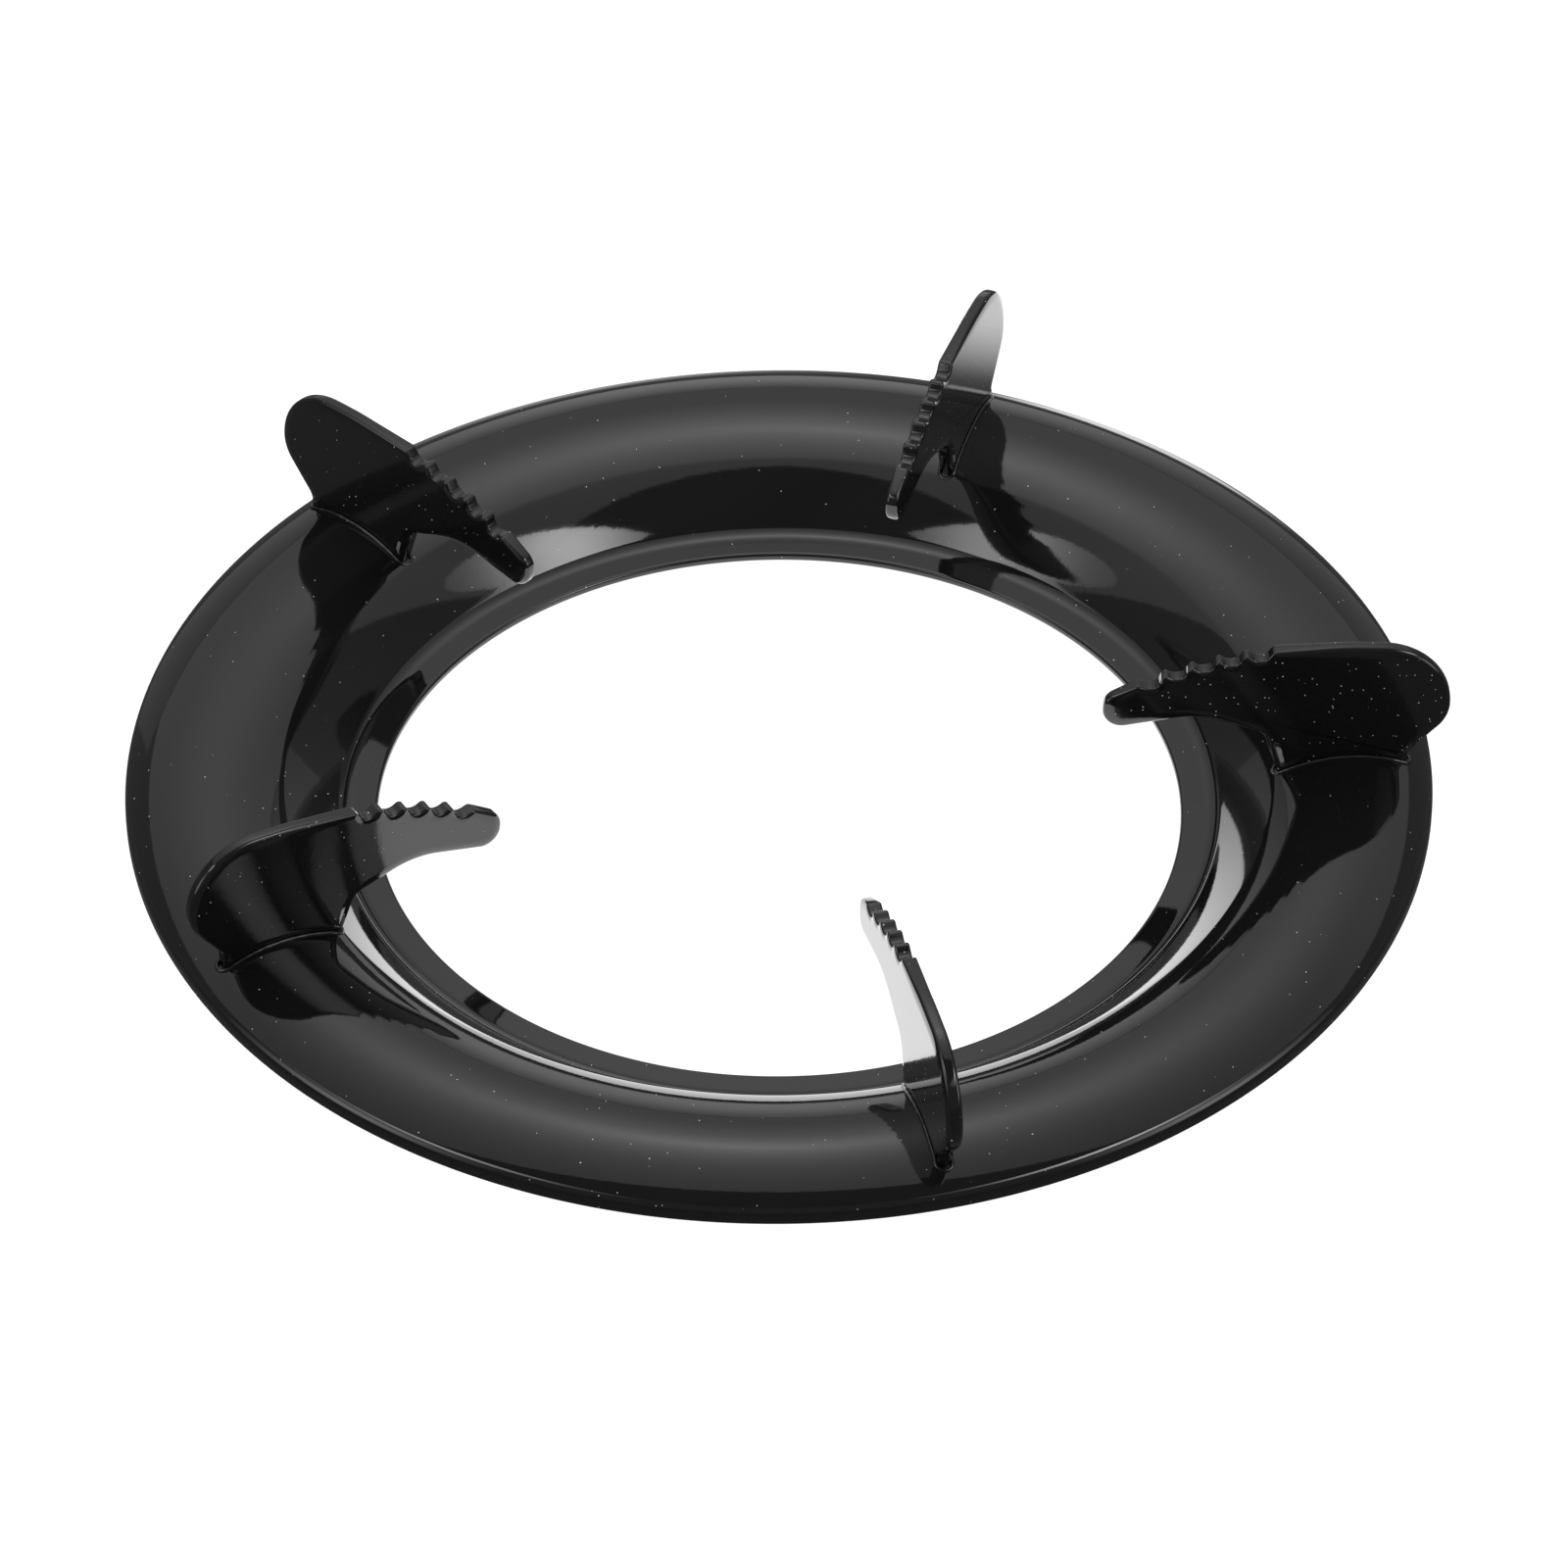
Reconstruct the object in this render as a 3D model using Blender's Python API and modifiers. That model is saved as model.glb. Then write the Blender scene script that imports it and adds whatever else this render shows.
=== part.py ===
"""Wok ring for a gas hob: a pressed steel ring that lies on the pan grate, with five
stamped fingers welded along its crown. A round-bottomed wok settles between the fingers.

The ring's axis is Z, and the underside of its inner flange is Z = 0.
Sizes are in millimetres here and become metres when the shapes are made.
"""

import bmesh
import bpy
from math import acos, asin, cos, pi, radians, sin, tan
from mathutils import Matrix, Vector

MM = 0.001

# Pressed ring, along the top of the sheet from the hole outwards
SHEET = 1.8
HOLE_RADIUS = 75.6
FLANGE_WIDTH = 4.6
ROOT_RADIUS = 4.0
WALL_ANGLE = 44.0
WALL_LENGTH = 13.04
SHOULDER_RADIUS = 5.0
CROWN_ANGLE = 30.3
INNER_CROWN_RADIUS = 30.0
OUTER_CROWN_RADIUS = 21.2
RIM_ANGLE = 38.0
RIM_RADIUS = 2.6
SKIRT_DROP = 1.27
RING_EDGE = 0.6
RING_STEPS = 80
ARC_STEP = 10.0

# Finger plate. Reach is measured from the crest of the crown, rise above it
PLATE = 3.0
PLATE_EDGE = 0.8
TIP_REACH = 48.6
HEAD_OVERHANG = 15.8
FINGER_RISE = 25.7
HEAD_RADIUS = 13.3
HEAD_TOP_REACH = 4.0
HEAD_TOP_RADIUS = 60.0
HEAD_HEEL_RADIUS = 8.0
NECK_LEAN = 40.0
NECK_RADIUS = 3.0
FOOT_INNER_REACH = 15.5
FOOT_OUTER_REACH = 8.8
KNEE_REACH = 18.3
KNEE_RISE = 4.9
KNEE_RADIUS = 3.0
ARCH_REACH = 30.45
ARCH_RISE = 9.2
ARCH_RADIUS = 17.0
NOSE_BOTTOM_RISE = 5.2
NOSE_TOP_RISE = 12.4
NOSE_RADIUS = 3.6

# Comb of grip notches along the finger's upper edge
NOTCHES = 5
NOTCH_PITCH = 5.24
NOTCH_RADIUS = 2.1
TOOTH_RADIUS = 0.9
FLANK_ANGLE = 50.0
COMB_REACH = 42.4
COMB_RISE = 15.8
COMB_SLOPE = 27.0
COMB_RADIUS = 92.0

# Weld bead that carries each finger
FOOT_GAP = 0.3
FOOT_SINK = 0.3
BEAD_LEG = 1.0
BEAD_RISE = 1.25
BEAD_LIP = 0.15
BEAD_NIB = 0.8
BEAD_ROOT_IN = 0.35
BEAD_ROOT_UP = 0.3

# The fingers are set and welded by hand, so each is a little off its even place:
# turned round the ring, twisted on its foot, moved outwards, nose down and leaning over
FINGERS = 5
FIRST_FINGER = -3.8
PLACING = (1.4, 0.8, -0.3, -1.5, -0.1)
TWIST = (2.2, 0.4, -0.9, 0.8, -0.8)
OUTSET = (0.3, 0.2, 1.0, 0.45, 0.6)
NOD = (-1.6, -1.4, -0.4, 4.6, -0.2)
LEAN = (-0.7, 0.4, 1.5, -1.4, -0.2)
TWIST_RADIUS = 105.0
NOD_REACH = 4.0

# How far a facet of the outline may fall inside its true arc
OUTLINE_SAG = 0.05


class Pen:
    """Draws a line of points: straight runs, and arcs that leave it without a corner."""

    def __init__(self, x, y, heading=0.0):
        self.at = Vector((x, y))
        self.heading = radians(heading)
        self.points = [self.at.copy()]

    def ahead(self):
        return Vector((cos(self.heading), sin(self.heading)))

    def line(self, length):
        self.at = self.at + self.ahead() * length
        self.points.append(self.at.copy())

    def arc(self, radius, turn):
        """Turns left by a positive angle and right by a negative one."""
        count = max(2, round(abs(turn) / ARC_STEP))
        side = 1 if turn > 0 else -1
        for _ in range(count):
            half = radians(turn) / count / 2
            self.heading += half
            self.at = self.at + self.ahead() * (2 * radius * sin(side * half))
            self.heading += half
            self.points.append(self.at.copy())


def ring_section():
    """The top of the sheet from the hole to the skirt's edge, and where its crest is."""
    pen = Pen(HOLE_RADIUS, SHEET)
    pen.line(FLANGE_WIDTH)
    pen.arc(ROOT_RADIUS, WALL_ANGLE)
    pen.line(WALL_LENGTH)
    pen.arc(SHOULDER_RADIUS, CROWN_ANGLE - WALL_ANGLE)
    pen.arc(INNER_CROWN_RADIUS, -CROWN_ANGLE)
    crest = pen.at.copy()
    pen.arc(OUTER_CROWN_RADIUS, -RIM_ANGLE)
    pen.arc(RIM_RADIUS, RIM_ANGLE - 90)
    pen.line(SKIRT_DROP)
    return pen.points, crest


SECTION, CREST = ring_section()


def on_crown(reach, height):
    """A point at this height over the crown, whose arcs meet at the crest."""
    radius = INNER_CROWN_RADIUS if reach < 0 else OUTER_CROWN_RADIUS
    angle = asin(reach / radius)
    out = (radius + height) * sin(angle)
    up = (radius + height) * cos(angle) - radius
    return Vector((CREST.x + out, CREST.y + up))


def from_crest(inward, rise):
    return Vector((CREST.x - inward, CREST.y + rise))


def spread(first, last, count):
    return [first + (last - first) * i / (count - 1) for i in range(count)]


def rounded(corners):
    """A closed outline from (point, radius) corners, each corner drawn as an arc."""
    points = []
    for i, (corner, radius) in enumerate(corners):
        before = (corners[i - 1][0] - corner).normalized()
        after = (corners[(i + 1) % len(corners)][0] - corner).normalized()
        if radius == 0:
            points.append(corner)
            continue
        half = before.angle(after) / 2
        centre = corner + (before + after).normalized() * (radius / sin(half))
        start = corner + before * (radius / tan(half)) - centre
        turn = pi - 2 * half
        side = 1 if before.x * after.y - before.y * after.x < 0 else -1
        step_angle = 2 * acos(1 - OUTLINE_SAG / radius)
        count = max(2, round(turn / step_angle))
        for step in range(count + 1):
            angle = side * turn * step / count
            spoke = Matrix.Rotation(angle, 2) @ start
            points.append(centre + spoke)
    return points


def comb_point(along, lift):
    """A point over the comb's curved line, which flattens towards the head."""
    start = from_crest(COMB_REACH, COMB_RISE)
    slope = radians(COMB_SLOPE)
    centre = start + Vector((sin(slope), -cos(slope))) * COMB_RADIUS
    angle = pi / 2 + slope - along / COMB_RADIUS
    return centre + Vector((cos(angle), sin(angle))) * (COMB_RADIUS + lift)


def comb_corners():
    """Teeth and notches from the nose to the head, as corners still to be rounded."""
    over = 1 / cos(radians(FLANK_ANGLE)) - 1
    zigzag = NOTCH_PITCH / 2 * tan(radians(FLANK_ANGLE))
    corners = [(comb_point(0, 0), TOOTH_RADIUS)]
    for i in range(NOTCHES):
        bottom = comb_point((i + 0.5) * NOTCH_PITCH, TOOTH_RADIUS * over - zigzag)
        corners.append((bottom, NOTCH_RADIUS))
        last = i == NOTCHES - 1
        tooth = comb_point((i + 1) * NOTCH_PITCH, 0 if last else TOOTH_RADIUS * over)
        corners.append((tooth, TOOTH_RADIUS))
    return corners


def foot_reaches(outset):
    return spread(outset - FOOT_INNER_REACH, outset + FOOT_OUTER_REACH, 8)


def finger_outline(outset, nod):
    """Round the plate: foot, neck, head, comb, nose, arch and knee.

    The foot follows the crown, and the rest nods over it by a small angle.
    """
    heel = CREST.x + FOOT_OUTER_REACH
    overhang = CREST.x + HEAD_OVERHANG
    neck = radians(NECK_LEAN)
    neck_top = CREST.y + FINGER_RISE - HEAD_RADIUS - HEAD_HEEL_RADIUS * tan(neck / 2)
    neck_bottom = neck_top - (overhang - heel) / tan(neck)
    corners = [(Vector((heel, neck_bottom)), NECK_RADIUS)]
    corners.append((Vector((overhang, neck_top)), HEAD_HEEL_RADIUS))
    corners.append((from_crest(-HEAD_OVERHANG, FINGER_RISE), HEAD_RADIUS))
    corners.append((from_crest(HEAD_TOP_REACH, FINGER_RISE), HEAD_TOP_RADIUS))
    corners += reversed(comb_corners())
    corners.append((from_crest(TIP_REACH, NOSE_TOP_RISE), NOSE_RADIUS))
    corners.append((from_crest(TIP_REACH, NOSE_BOTTOM_RISE), NOSE_RADIUS))
    corners.append((from_crest(ARCH_REACH, ARCH_RISE), ARCH_RADIUS))
    corners.append((from_crest(KNEE_REACH, KNEE_RISE), KNEE_RADIUS))
    hub = from_crest(NOD_REACH, 0)
    turn = Matrix.Rotation(radians(nod), 2)
    moved = hub + Vector((outset, 0))
    corners = [(moved + turn @ (corner - hub), radius) for corner, radius in corners]
    foot = [(on_crown(reach, FOOT_GAP + FOOT_SINK), 0) for reach in foot_reaches(outset)]
    return rounded(foot + corners)


def collection(name):
    made = bpy.data.collections.new(name)
    bpy.context.scene.collection.children.link(made)
    return made


def clear_scene():
    for obj in list(bpy.data.objects):
        bpy.data.objects.remove(obj, do_unlink=True)


def material(name, colour, roughness, metallic):
    made = bpy.data.materials.new(name)
    made.use_nodes = True
    surface = made.node_tree.nodes["Principled BSDF"]
    surface.inputs["Base Color"].default_value = (*colour, 1)
    surface.inputs["Roughness"].default_value = roughness
    surface.inputs["Metallic"].default_value = metallic
    made.diffuse_color = (*colour, 1)
    return made


def show(name, mesh, group, finish):
    """Puts the mesh in the scene as one named part, smooth but for its real edges."""
    mesh.name = name
    mesh.materials.clear()
    mesh.materials.append(finish)
    mesh.shade_smooth()
    mesh.set_sharp_from_angle(angle=radians(40))
    part = bpy.data.objects.new(name, mesh)
    group.objects.link(part)
    return part


def helper(name, data, group):
    made = bpy.data.objects.new(name, data)
    made.hide_render = True
    made.display_type = "WIRE"
    group.objects.link(made)
    return made


def settled(obj):
    """The object's mesh with its modifiers worked in."""
    graph = bpy.context.evaluated_depsgraph_get()
    graph.update()
    return bpy.data.meshes.new_from_object(obj.evaluated_get(graph))


def add_ring(parts, helpers, finish):
    """Half-section of the sheet's top, turned about Z and then given its thickness."""
    line = bpy.data.meshes.new("ring section")
    points = [(p.x * MM, 0, p.y * MM) for p in SECTION]
    line.from_pydata(points, [(i, i + 1) for i in range(len(points) - 1)], [])
    blank = helper("ring blank", line, helpers)
    turned = blank.modifiers.new("turned", "SCREW")
    turned.axis = "Z"
    turned.angle = 2 * pi
    turned.steps = RING_STEPS
    turned.render_steps = RING_STEPS
    turned.use_merge_vertices = True
    turned.merge_threshold = 0.00001
    sheet = blank.modifiers.new("sheet", "SOLIDIFY")
    sheet.thickness = SHEET * MM
    sheet.offset = -1
    sheet.use_even_offset = True
    edges = blank.modifiers.new("cut edges", "BEVEL")
    edges.width = RING_EDGE * MM
    edges.segments = 2
    edges.limit_method = "ANGLE"
    edges.angle_limit = radians(60)
    show("ring", settled(blank), parts, finish)


def bead_mesh(outset):
    """The weld along a finger's foot: a low fillet each side, run out in a nib at each end."""
    half = PLATE / 2
    side = [
        (half + BEAD_LEG, 0),
        (half + BEAD_LEG, BEAD_LIP),
        (half + BEAD_LEG * 0.5, BEAD_RISE * 0.42),
        (half + BEAD_LEG * 0.16, BEAD_RISE * 0.8),
        (half - BEAD_ROOT_IN, BEAD_RISE + BEAD_ROOT_UP),
    ]
    section = side + [(-across, up) for across, up in reversed(side)]
    reaches = foot_reaches(outset)
    rows = [(reach, 1.0) for reach in reaches]
    for share, size in ((0.4, 0.92), (0.75, 0.66), (1.0, 0.3)):
        rows.insert(0, (reaches[0] - BEAD_NIB * share, size))
        rows.append((reaches[-1] + BEAD_NIB * share, size))
    work = bmesh.new()
    loops = []
    for reach, size in rows:
        loop = []
        for across, up in section:
            at = on_crown(reach, FOOT_GAP + up * size)
            loop.append(work.verts.new((at.x * MM, across * size * MM, at.y * MM)))
        loops.append(loop)
    count = len(section)
    for row, after in zip(loops, loops[1:]):
        for i in range(count):
            j = (i + 1) % count
            work.faces.new((row[i], row[j], after[j], after[i]))
    work.faces.new(loops[0])
    work.faces.new(reversed(loops[-1]))
    bmesh.ops.recalc_face_normals(work, faces=work.faces)
    mesh = bpy.data.meshes.new("weld bead")
    work.to_mesh(mesh)
    work.free()
    return mesh


def plate_mesh(outset, nod):
    """The stamped blank: its flat outline raised to the plate's thickness, standing up."""
    outline = bpy.data.curves.new("finger outline", "CURVE")
    outline.dimensions = "2D"
    outline.fill_mode = "BOTH"
    outline.extrude = PLATE / 2 * MM
    points = finger_outline(outset, nod)
    spline = outline.splines.new("POLY")
    spline.points.add(len(points) - 1)
    for drawn, point in zip(spline.points, points):
        drawn.co = (point.x * MM, point.y * MM, 0, 1)
    spline.use_cyclic_u = True
    flat = bpy.data.objects.new("finger outline", outline)
    bpy.context.scene.collection.objects.link(flat)
    mesh = settled(flat)
    bpy.data.objects.remove(flat)
    work = bmesh.new()
    work.from_mesh(mesh)
    bmesh.ops.remove_doubles(work, verts=work.verts, dist=0.000001)
    bmesh.ops.dissolve_limit(
        work, angle_limit=radians(1), verts=work.verts, edges=work.edges
    )
    bmesh.ops.rotate(work, verts=work.verts, matrix=Matrix.Rotation(pi / 2, 3, "X"))
    bmesh.ops.recalc_face_normals(work, faces=work.faces)
    work.to_mesh(mesh)
    work.free()
    return mesh


def finger_place(i):
    """Where finger i stands: leaning over its foot, twisted on it, then turned to its place."""
    crown = Vector((0, 0, CREST.y * MM))
    lean = Matrix.Translation(crown) @ Matrix.Rotation(radians(LEAN[i]), 4, "X")
    lean = lean @ Matrix.Translation(-crown)
    out = Vector((TWIST_RADIUS * MM, 0, 0))
    twist = Matrix.Translation(out) @ Matrix.Rotation(radians(TWIST[i]), 4, "Z")
    twist = twist @ Matrix.Translation(-out)
    stand = radians(FIRST_FINGER + i * 360 / FINGERS + PLACING[i])
    return Matrix.Rotation(stand, 4, "Z") @ twist @ lean


def add_fingers(parts, helpers, finish):
    for i in range(FINGERS):
        bead = helper(f"weld bead {i + 1}", bead_mesh(OUTSET[i]), helpers)
        plate = plate_mesh(OUTSET[i], NOD[i])
        blank = helper(f"finger blank {i + 1}", plate, helpers)
        edges = blank.modifiers.new("tumbled edges", "BEVEL")
        edges.width = PLATE_EDGE * MM
        edges.segments = 2
        edges.limit_method = "ANGLE"
        edges.angle_limit = radians(60)
        weld = blank.modifiers.new("weld", "BOOLEAN")
        weld.operation = "UNION"
        weld.solver = "EXACT"
        weld.object = bead
        finger = show(f"finger_{i + 1}", settled(blank), parts, finish)
        finger.data.transform(finger_place(i))


def build():
    clear_scene()
    parts = collection("wok ring")
    helpers = collection("cutters")
    helpers.hide_render = True
    ring_enamel = material("ring enamel", (0.012, 0.012, 0.013), 0.12, 0.0)
    finger_enamel = material("finger enamel", (0.012, 0.012, 0.013), 0.15, 0.0)
    add_ring(parts, helpers, ring_enamel)
    add_fingers(parts, helpers, finger_enamel)


build()
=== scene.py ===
from math import acos, asin, atan, cos, pi, radians, sin, tan

import bmesh
import bpy
from mathutils import Matrix, Vector


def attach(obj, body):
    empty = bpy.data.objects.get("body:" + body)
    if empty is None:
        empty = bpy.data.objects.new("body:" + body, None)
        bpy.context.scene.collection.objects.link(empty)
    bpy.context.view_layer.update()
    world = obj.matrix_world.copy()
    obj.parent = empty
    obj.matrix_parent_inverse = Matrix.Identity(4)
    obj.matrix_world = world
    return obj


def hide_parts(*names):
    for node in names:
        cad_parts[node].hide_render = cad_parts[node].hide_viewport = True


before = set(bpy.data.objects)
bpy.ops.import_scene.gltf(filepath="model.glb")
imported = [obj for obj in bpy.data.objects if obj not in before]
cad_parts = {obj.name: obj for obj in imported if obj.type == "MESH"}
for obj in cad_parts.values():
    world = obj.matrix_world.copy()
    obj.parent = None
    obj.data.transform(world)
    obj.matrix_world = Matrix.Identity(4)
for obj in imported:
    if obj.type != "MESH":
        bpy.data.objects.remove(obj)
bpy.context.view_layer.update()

MM = 0.001
BODY = "root"

# Pressed ring: the sheet's top, from the hole outwards, in millimetres and degrees
SHEET = 1.8
HOLE_RADIUS = 75.6
FLANGE_WIDTH = 4.6
ROOT_RADIUS = 4.0
WALL_FOOT_ANGLE = 48.6
WALL_TOP_ANGLE = 40.2
WALL_LENGTH = 12.95
SHOULDER_RADIUS = 5.0
CROWN_ANGLE = 30.3
INNER_CROWN_RADIUS = 30.0
OUTER_CROWN_RADIUS = 24.0
RIM_ANGLE = 32.5
RIM_RADIUS = 2.6
SKIRT_DROP = 1.84
RING_EDGE = 0.75
RING_EDGE_STEPS = 6
RING_EDGE_ANGLE = 60.0
RING_STEPS = 320

# How far apart the section's points lie: millimetres on the flat, degrees of turn elsewhere
FLAT_PACE = 0.8
ROOT_PACE = 4.0
WALL_PACE = 0.5
SHOULDER_PACE = 2.5
INNER_CROWN_PACE = 1.6
OUTER_CROWN_PACE = 2.0
RIM_PACE = 5.0

# Finger plate, measured inwards and upwards from the crest of the crown
PLATE = 3.0
TIP_REACH = 48.6
HEAD_OVERHANG = 15.8
FINGER_RISE = 25.64
HEAD_RADIUS = 13.3
HEAD_TOP_REACH = 4.0
HEAD_TOP_RADIUS = 60.0
HEAD_HEEL_RADIUS = 8.0
NECK_LEAN = 40.0
NECK_RADIUS = 3.0
FOOT_INNER_REACH = 15.5
FOOT_OUTER_REACH = 8.8
FOOT_SINK = 0.25
FOOT_POINTS = 20
KNEE_REACH = 18.3
KNEE_RISE = 4.9
KNEE_RADIUS = 3.0
ARCH_REACH = 30.45
ARCH_RISE = 9.2
ARCH_RADIUS = 17.0
NOSE_BOTTOM_RISE = 5.2
NOSE_TOP_RISE = 12.4
NOSE_RADIUS = 3.6
OUTLINE_SAG = 0.005

# Grip notches
NOTCHES = 5
NOTCH_PITCH = 5.24
NOTCH_RADIUS = 2.1
TOOTH_RADIUS = 0.9
FLANK_ANGLE = 50.0
COMB_REACH = 42.4
COMB_RISE = 15.8
COMB_SLOPE = 27.0
COMB_RADIUS = 92.0

# Plate edge: a slow roll-over from the stamping, then the round left by tumbling
EDGE_RADIUS = 0.85
EDGE_STEPS = 8
EDGE_TIGHT = 0.55
EDGE_MARGIN = 0.12
ROLL_WIDTH = 1.6
ROLL_DROP = 0.22
ROLL_STEPS = 5

# The fingers are set by hand: turned round the ring, twisted on the foot, moved
# outwards, nose down and leaning over
FINGERS = 5
FIRST_FINGER = -3.8
PLACING = (1.4, 0.8, -0.3, -1.5, -0.1)
TWIST = (2.2, 0.4, -0.9, 0.8, -0.8)
OUTSET = (0.3, 0.2, 1.0, 0.45, 0.6)
NOD = (-1.6, -1.4, -0.4, 4.6, -0.2)
LEAN = (-0.7, 0.4, 1.5, -1.4, -0.2)
TWIST_RADIUS = 105.0
NOD_REACH = 4.0

# Weld bead round each foot, laid by hand: its line drifts and its thickness lumps a
# little, about every 3 mm and every 2 mm, given as waves to the millimetre
BEAD_RADIUS = 0.37
BEAD_UP = 0.05
BEAD_END = 0.9
BEAD_PACE = 0.22
BEAD_POINTS = 60
BEAD_TURN_STEPS = 12
BEAD_SIDES = 12
BEAD_WANDER = 0.14
BEAD_SWELL = 0.7
BEAD_DRIFT_WAVES = 0.33
BEAD_LUMP_WAVES = 0.52
BEAD_SEED_STEP = 10.0

# Enamel: waves to the millimetre and depth in millimetres of the glass's slow sag, 17 mm
# wide, its orange peel, 1.4 mm wide, and its fine grain, 0.4 mm wide; then the pitch and the
# greatest radius of the specks: pale flecks fired into it, painted near white as glints too
ENAMEL_BLACK = "#121213"
# Near white: the specks' own pale colour, raised to stand for their glints as a painted highlight
SPECK_AND_GLINT_COLOUR = "#e8e8e8"
ENAMEL_IOR = 1.5
GLOSS = 0.04
SPECK_ROUGHNESS = 0.45
SAG_WAVES = 0.06
SAG_DEPTH = 0.02
PEEL_WAVES = 0.7
PEEL_DEPTH = 0.004
GRAIN_WAVES = 2.6
GRAIN_DEPTH = 0.0011
SPECK_PITCH = 1.1
SPECK_RADIUS = 0.125

# The share of cells that hold a speck and the coarseness of the enamel, on ring and fingers
RING_SEED = 1.0
RING_SPECKS = 0.15
RING_COARSE = 1.2
FINGER_SEED = 5.0
FINGER_SPECKS = 0.6
FINGER_COARSE = 2.2

# Floor, in metres. To the camera the paper is white, with a share of its own light and
# the rest lit by the lamps
PAPER_COLOUR = "#f4f4f4"
FLOOR_REACH = 30.0
FLOOR_DROP = 0.0002
FLOOR_WHITE = 1.3
FLOOR_SHARE = 0.8

# What the gloss sees of the floor, a glow painted on it for glossy rays: painted light inside
# the hole, a painted shadow under the ring, a little brighter behind it than in front, and dim
# far away. The levels are strengths, where 1 is white. FRONT_END and BACK_START are places
# from front to back, the rest are radii
GLOSS_SHARE = 0.95
INSIDE_LEVEL = 2.0
INSIDE_FULL = 0.07
INSIDE_END = 0.11
DIM_LEVEL = 0.1
FRONT_LEVEL = 0.08
FRONT_END = -0.02
BACK_LEVEL = 0.12
BACK_START = 0.12
BAND_START = 0.12
BAND_FULL = 0.155
BAND_FADES = 0.2
BAND_END = 0.5

# Two painted patches of light on the floor behind the ring, seen only in the gloss, kept off
# the ring's own outline
LEFT_PATCH = (-0.04, 0.15, 0.0)
LEFT_PATCH_LEVEL = 0.55
LEFT_PATCH_CORE = 0.0
LEFT_PATCH_EDGE = 0.07
RIGHT_PATCH = (0.085, 0.165, 0.0)
RIGHT_PATCH_LEVEL = 2.0
RIGHT_PATCH_CORE = 0.02
RIGHT_PATCH_EDGE = 0.05
PATCH_NEAREST = 0.134
PATCH_FREE = 0.148

# Room: its level low down and overhead, and the heights where one turns into the other
ROOM_LEVEL = 0.2
ROOM_TOP_LEVEL = 0.12
ROOM_LOW = 0.6
ROOM_HIGH = 0.72
ROOM_WHITE = 1.0

# Lamps, in metres and degrees: azimuth 0 is behind the ring, 90 is on its right
LAMP_DISTANCE = 2.5
LAMP_WIDTH = 2.6
LAMP_HEIGHT = 0.55
LAMP_ELEVATION = 41
LAMP_GLOW_ELEVATION = 42
LEFT_AZIMUTH = -122
LEFT_GLOW_AZIMUTH = -120
LEFT_PEAK = 3.6
RIGHT_AZIMUTH = 124
RIGHT_GLOW_AZIMUTH = 122
RIGHT_PEAK = 6.5

# Camera: where the photograph was taken from, in metres, degrees and pixels
CAMERA_ELEVATION = 40.1026
CAMERA_DISTANCE = 1.27573
CAMERA_HEIGHT = 0.00795
FOCAL = 6925.86
PHOTO_WIDTH = 1600
SENSOR = 36.0
VIEW_END = 20.0
TILT = 0.0539
PAN = 0.0436
ROLL = 0.4775

# Numbers below which two points are one, in metres, and a corner is straight, in radians
RING_MERGE = 0.000001
PLATE_MERGE = 0.0000005
STRAIGHT = 0.0001


def linear(code):
    """The linear colour of an sRGB hex value."""
    parts = [int(code[i:i + 2], 16) / 255 for i in (1, 3, 5)]
    return [p / 12.92 if p <= 0.04045 else ((p + 0.055) / 1.055) ** 2.4 for p in parts] + [1]


def add(tree, kind, settings=None, links=None):
    """Adds a node, sets its properties and inputs, and links others' outputs into it.

    An input goes by its name, or by its number where several share one.
    """
    node = tree.nodes.new(kind)
    for key, value in (settings or {}).items():
        if isinstance(key, str) and hasattr(node, key):
            setattr(node, key, value)
        else:
            node.inputs[key].default_value = value
    for key, source in (links or {}).items():
        tree.links.new(source, node.inputs[key])
    return node


# Outlines

class Pen:
    """Draws a line of points: straight runs, and arcs that leave it without a corner."""

    def __init__(self, x, y):
        self.at = Vector((x, y))
        self.heading = 0.0
        self.points = [self.at.copy()]

    def step(self, length):
        self.at = self.at + Vector((cos(self.heading), sin(self.heading))) * length
        self.points.append(self.at.copy())

    def line(self, length):
        count = max(1, round(length / FLAT_PACE))
        for _ in range(count):
            self.step(length / count)

    def arc(self, radius, turn, pace):
        count = max(2, round(abs(turn) / pace))
        half = radians(turn) / count / 2
        for _ in range(count):
            self.heading += half
            self.step(2 * radius * sin(abs(half)))
            self.heading += half


def ring_section():
    """The sheet's top from the hole to the skirt's edge, and the crest of the crown."""
    pen = Pen(HOLE_RADIUS, SHEET)
    pen.line(FLANGE_WIDTH)
    pen.arc(ROOT_RADIUS, WALL_FOOT_ANGLE, ROOT_PACE)
    sweep = WALL_FOOT_ANGLE - WALL_TOP_ANGLE
    pen.arc(WALL_LENGTH / radians(sweep), -sweep, WALL_PACE)
    pen.arc(SHOULDER_RADIUS, CROWN_ANGLE - WALL_TOP_ANGLE, SHOULDER_PACE)
    pen.arc(INNER_CROWN_RADIUS, -CROWN_ANGLE, INNER_CROWN_PACE)
    crest = pen.at.copy()
    pen.arc(OUTER_CROWN_RADIUS, -RIM_ANGLE, OUTER_CROWN_PACE)
    pen.arc(RIM_RADIUS, RIM_ANGLE - 90, RIM_PACE)
    pen.line(SKIRT_DROP)
    return pen.points, crest


SECTION, CREST = ring_section()


def on_crown(reach, height):
    """A point at this height over the crown, whose arcs meet at the crest."""
    radius = INNER_CROWN_RADIUS if reach < 0 else OUTER_CROWN_RADIUS
    angle = asin(reach / radius)
    out = (radius + height) * sin(angle)
    up = (radius + height) * cos(angle) - radius
    return Vector((CREST.x + out, CREST.y + up))


def from_crest(inward, rise):
    return Vector((CREST.x - inward, CREST.y + rise))


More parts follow.
